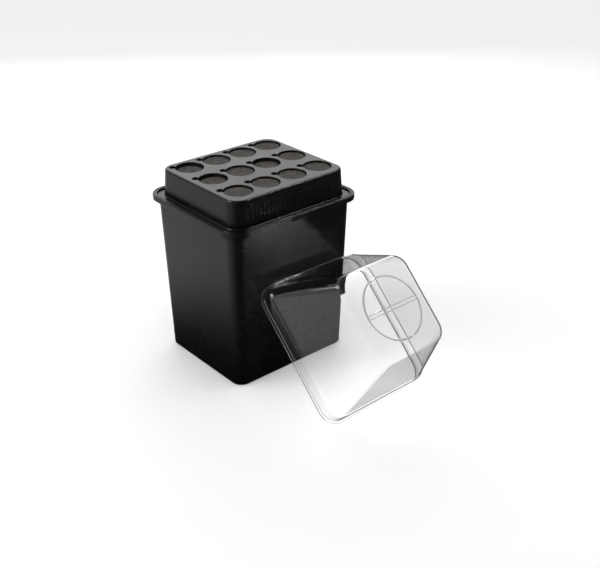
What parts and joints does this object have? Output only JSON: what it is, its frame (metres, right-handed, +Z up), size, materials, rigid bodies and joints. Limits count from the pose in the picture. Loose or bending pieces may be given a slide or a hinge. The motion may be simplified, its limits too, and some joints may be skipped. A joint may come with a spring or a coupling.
{
  "type": "humidity dome propagator",
  "caption": "Black bucket propagator: a raised lid holds foam collars over a pump-fed spray manifold, and a clear humidity dome leans on the front.",
  "frame": {"origin": "centre of the bucket's flat underside, on the surface it stands on", "axes": "+Z up; -Y is the front, where the dome leans; +X is to the right seen from the front, along the longer side of the lid"},
  "size_m": [0.286, 0.5055, 0.352],
  "materials": {
    "bucket": "semi-gloss moulded black polyethylene, faintly grained",
    "lid": "semi-gloss moulded black polyethylene",
    "foam": "closed-cell neoprene foam, matt and pitted",
    "clear": "clear thermoformed sheet",
    "pump_plastic": "moulded black plastic",
    "rubber": "black moulded rubber",
    "pipe": "white plastic pipe",
    "magnet": "ferrite magnet",
    "shaft": "ground pin",
    "nozzle": "moulded red plastic"
  },
  "bodies": {
    "bucket": {"arm_x_minus": "pipe", "arm_x_plus": "pipe", "arm_y_minus": "pipe", "arm_y_plus": "pipe", "end_cap_x_minus": "pipe", "end_cap_x_plus": "pipe", "end_cap_y_minus": "pipe", "end_cap_y_plus": "pipe", "front_bush": "rubber", "impeller_shaft": "shaft", "intake_strainer": "pump_plastic", "manifold_cross": "pipe", "nozzle_x_minus_1": "nozzle", "nozzle_x_minus_2": "nozzle", "nozzle_x_plus_1": "nozzle", "nozzle_x_plus_2": "nozzle", "nozzle_y_minus_1": "nozzle", "nozzle_y_minus_2": "nozzle", "nozzle_y_plus_1": "nozzle", "nozzle_y_plus_2": "nozzle", "pump_body": "pump_plastic", "pump_cable_gland": "rubber", "rear_bush": "rubber", "reservoir": "bucket", "riser_pipe": "pipe", "suction_cup_1": "rubber", "suction_cup_2": "rubber", "suction_cup_3": "rubber", "suction_cup_4": "rubber", "volute_cover": "pump_plastic"},
    "lid": {"site_tray": "lid"},
    "dome": {"humidity_dome": "clear"},
    "rotor": {"impeller": "pump_plastic", "rotor_magnet": "magnet"},
    "collar_r1c1": {"insert_r1c1": "foam"},
    "collar_r1c2": {"insert_r1c2": "foam"},
    "collar_r1c3": {"insert_r1c3": "foam"},
    "collar_r1c4": {"insert_r1c4": "foam"},
    "collar_r2c1": {"insert_r2c1": "foam"},
    "collar_r2c2": {"insert_r2c2": "foam"},
    "collar_r2c3": {"insert_r2c3": "foam"},
    "collar_r2c4": {"insert_r2c4": "foam"},
    "collar_r3c1": {"insert_r3c1": "foam"},
    "collar_r3c2": {"insert_r3c2": "foam"},
    "collar_r3c3": {"insert_r3c3": "foam"},
    "collar_r3c4": {"insert_r3c4": "foam"}
  },
  "joints": [
    {"name": "lid_lift", "type": "slide", "parent": "bucket", "child": "lid", "axis": [0, 0, 1], "range_m": [0, 0.12]},
    {"name": "dome_tip", "type": "hinge", "parent": "bucket", "child": "dome", "pos_m": [0.026, -0.2995, 0], "axis": [1, 0, 0], "range_deg": [0, 55]},
    {"name": "rotor_spin", "type": "hinge", "parent": "bucket", "child": "rotor", "pos_m": [-0.0078, 0, 0.0361], "axis": [1, 0, 0], "continuous": true},
    {"name": "collar_r1c1_pull", "type": "slide", "parent": "lid", "child": "collar_r1c1", "axis": [0, 0, 1], "range_m": [0, 0.035]},
    {"name": "collar_r1c2_pull", "type": "slide", "parent": "lid", "child": "collar_r1c2", "axis": [0, 0, 1], "range_m": [0, 0.035]},
    {"name": "collar_r1c3_pull", "type": "slide", "parent": "lid", "child": "collar_r1c3", "axis": [0, 0, 1], "range_m": [0, 0.035]},
    {"name": "collar_r1c4_pull", "type": "slide", "parent": "lid", "child": "collar_r1c4", "axis": [0, 0, 1], "range_m": [0, 0.035]},
    {"name": "collar_r2c1_pull", "type": "slide", "parent": "lid", "child": "collar_r2c1", "axis": [0, 0, 1], "range_m": [0, 0.035]},
    {"name": "collar_r2c2_pull", "type": "slide", "parent": "lid", "child": "collar_r2c2", "axis": [0, 0, 1], "range_m": [0, 0.035]},
    {"name": "collar_r2c3_pull", "type": "slide", "parent": "lid", "child": "collar_r2c3", "axis": [0, 0, 1], "range_m": [0, 0.035]},
    {"name": "collar_r2c4_pull", "type": "slide", "parent": "lid", "child": "collar_r2c4", "axis": [0, 0, 1], "range_m": [0, 0.035]},
    {"name": "collar_r3c1_pull", "type": "slide", "parent": "lid", "child": "collar_r3c1", "axis": [0, 0, 1], "range_m": [0, 0.035]},
    {"name": "collar_r3c2_pull", "type": "slide", "parent": "lid", "child": "collar_r3c2", "axis": [0, 0, 1], "range_m": [0, 0.035]},
    {"name": "collar_r3c3_pull", "type": "slide", "parent": "lid", "child": "collar_r3c3", "axis": [0, 0, 1], "range_m": [0, 0.035]},
    {"name": "collar_r3c4_pull", "type": "slide", "parent": "lid", "child": "collar_r3c4", "axis": [0, 0, 1], "range_m": [0, 0.035]}
  ]
}
